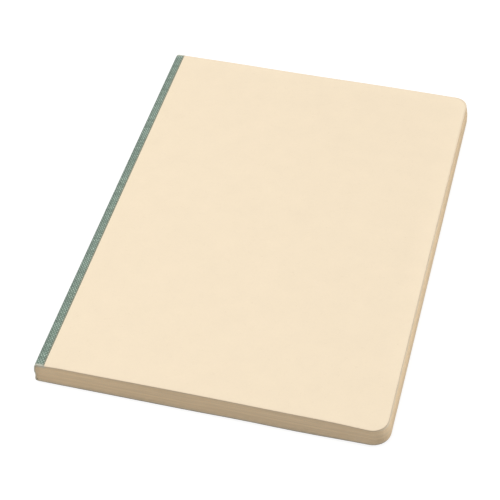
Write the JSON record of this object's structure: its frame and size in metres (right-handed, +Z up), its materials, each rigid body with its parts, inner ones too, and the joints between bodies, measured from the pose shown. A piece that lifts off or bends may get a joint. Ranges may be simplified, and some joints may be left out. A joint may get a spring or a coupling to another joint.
{
  "type": "softcover notebook",
  "caption": "Thread-sewn softcover notebook with card covers, rounded fore-edge corners and a cloth tape over the spine; the covers and the page block swing open.",
  "frame": {"origin": "middle of the closed notebook's footprint, on the surface that it lies on", "axes": "+Z up through the front cover; +X from the spine to the fore edge; +Y from tail to head along the spine"},
  "size_m": [0.148, 0.21, 0.0105],
  "materials": {
    "card": "matt, fine recycled fibres",
    "endpaper": "matt, uncoated",
    "paper": "matt, uncoated",
    "tape": "woven book cloth, matt",
    "lining": "open gauze set in glue",
    "thread": "twisted linen thread"
  },
  "bodies": {
    "quarter_2": {"section_03": "paper", "section_04": "paper", "section_05": "paper", "sewing_thread_03": "thread", "sewing_thread_04": "thread", "sewing_thread_05": "thread", "spine_lining_quarter_2": "lining", "spine_tape_quarter_2": "tape"},
    "quarter_1": {"back_flyleaf": "endpaper", "section_01": "paper", "section_02": "paper", "sewing_thread_01": "thread", "sewing_thread_02": "thread", "spine_lining_quarter_1": "lining", "spine_tape_quarter_1": "tape"},
    "quarter_3": {"section_06": "paper", "section_07": "paper", "section_08": "paper", "sewing_thread_06": "thread", "sewing_thread_07": "thread", "sewing_thread_08": "thread", "spine_lining_quarter_3": "lining", "spine_tape_quarter_3": "tape"},
    "quarter_4": {"front_flyleaf": "endpaper", "section_09": "paper", "section_10": "paper", "sewing_thread_09": "thread", "sewing_thread_10": "thread", "spine_lining_quarter_4": "lining", "spine_tape_quarter_4": "tape"},
    "front_cover": {"front_cover": "card", "front_pastedown": "endpaper", "front_tape_strip": "tape"},
    "back_cover": {"back_cover": "card", "back_pastedown": "endpaper", "back_tape_strip": "tape"}
  },
  "joints": [
    {"name": "opening_after_section_05", "type": "hinge", "parent": "quarter_2", "child": "quarter_3", "pos_m": [-0.07403, 0, 0.00525], "axis": [0, 1, 0], "range_deg": [-180, 0]},
    {"name": "opening_after_section_08", "type": "hinge", "parent": "quarter_3", "child": "quarter_4", "pos_m": [-0.07403, 0, 0.00794], "axis": [0, -1, 0], "range_deg": [0, 180]},
    {"name": "front_cover_hinge", "type": "hinge", "parent": "quarter_4", "child": "front_cover", "pos_m": [-0.07403, 0, 0.01052], "axis": [0, 1, 0], "range_deg": [-180, 0]},
    {"name": "opening_after_section_02", "type": "hinge", "parent": "quarter_2", "child": "quarter_1", "pos_m": [-0.07403, 0, 0.00256], "axis": [0, 1, 0], "range_deg": [0, 180]},
    {"name": "back_cover_hinge", "type": "hinge", "parent": "quarter_1", "child": "back_cover", "pos_m": [-0.07403, 0, -0.00003], "axis": [0, -1, 0], "range_deg": [-180, 0]}
  ]
}
